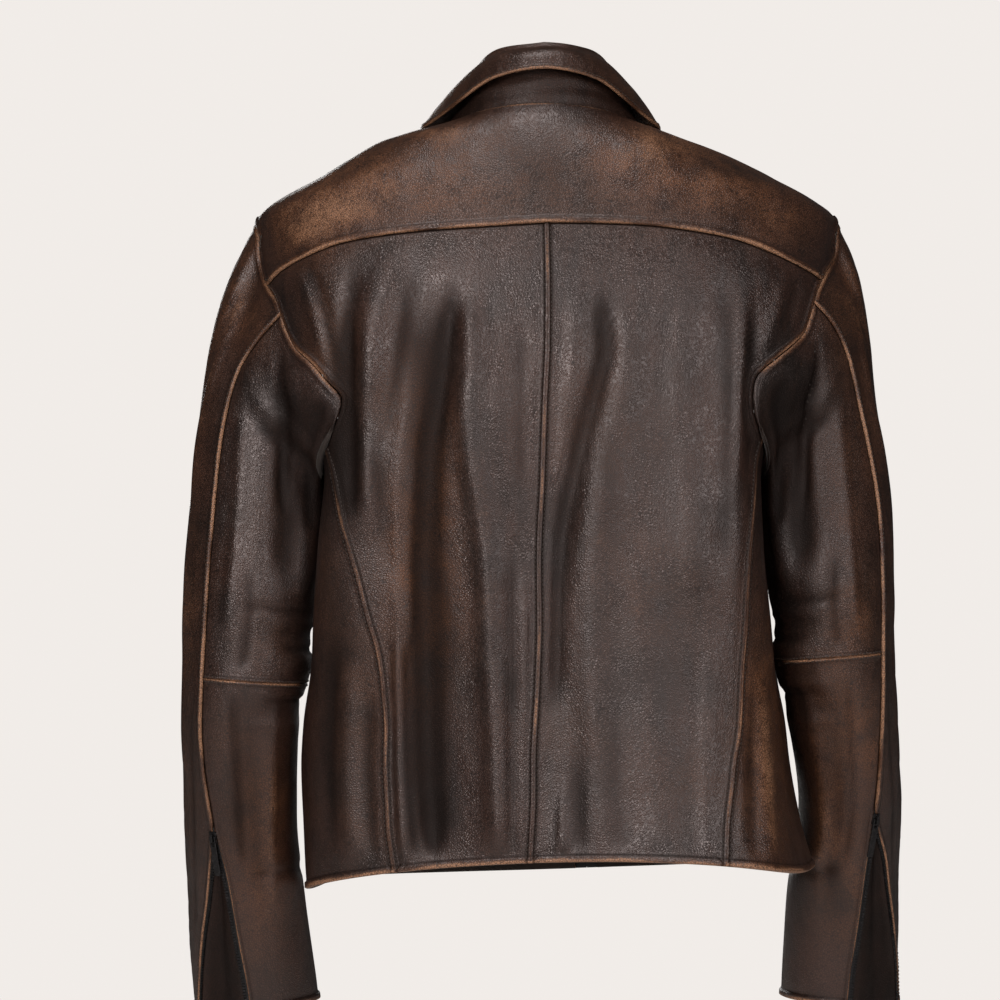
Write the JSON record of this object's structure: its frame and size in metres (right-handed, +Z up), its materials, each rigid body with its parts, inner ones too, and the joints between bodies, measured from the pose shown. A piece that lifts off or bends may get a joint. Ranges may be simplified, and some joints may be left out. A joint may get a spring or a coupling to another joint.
{
  "type": "leather jacket",
  "caption": "Hip-length zip-front leather jacket kept in its worn shape, with a back yoke, princess seams, a turned-down collar on a stand and zipped cuffs.",
  "frame": {"origin": "Middle of the neck opening at the height of the neck side points, where the wearer's shoulders hold the jacket up.", "axes": "+Z up. The wearer faces -Y, the back is towards +Y and the wearer's left side is +X."},
  "size_m": [0.6482, 0.3, 0.8619],
  "materials": {
    "leather": "dark brown, worn to tan at seams, edges, yoke and folds",
    "zip_tape": "near-black woven tape",
    "zip_metal": "darkened metal"
  },
  "bodies": {
    "jacket": {"back_left": "leather", "back_right": "leather", "back_yoke": "leather", "collar_fall": "leather", "collar_stand": "leather", "cuff_slider_left": "zip_metal", "cuff_slider_right": "zip_metal", "cuff_tape_inner_left": "zip_tape", "cuff_tape_inner_right": "zip_tape", "cuff_tape_outer_left": "zip_tape", "cuff_tape_outer_right": "zip_tape", "forearm_left": "leather", "forearm_right": "leather", "front_left": "leather", "front_right": "leather", "front_slider": "zip_metal", "front_tape_left": "zip_tape", "front_tape_right": "zip_tape", "gusset_left": "leather", "gusset_right": "leather", "side_left": "leather", "side_right": "leather", "sleeve_top_left": "leather", "sleeve_top_right": "leather", "sleeve_under_left": "leather", "sleeve_under_right": "leather"},
    "pull_cuff_left": {"cuff_pull_left": "zip_metal"},
    "pull_cuff_right": {"cuff_pull_right": "zip_metal"},
    "pull_front": {"front_pull": "zip_metal"}
  },
  "joints": [
    {"name": "cuff_pull_left_hinge", "type": "hinge", "parent": "jacket", "child": "pull_cuff_left", "pos_m": [0.29289, 0.03708, -0.62079], "axis": [0.8997, -0.4366, 0], "range_deg": [0, 120]},
    {"name": "cuff_pull_right_hinge", "type": "hinge", "parent": "jacket", "child": "pull_cuff_right", "pos_m": [-0.29697, 0.0088, -0.60741], "axis": [0.8936, 0.4488, 0], "range_deg": [0, 120]},
    {"name": "front_pull_hinge", "type": "hinge", "parent": "jacket", "child": "pull_front", "pos_m": [0.00215, -0.08285, -0.06863], "axis": [-1, 0, 0], "range_deg": [0, 120]}
  ]
}
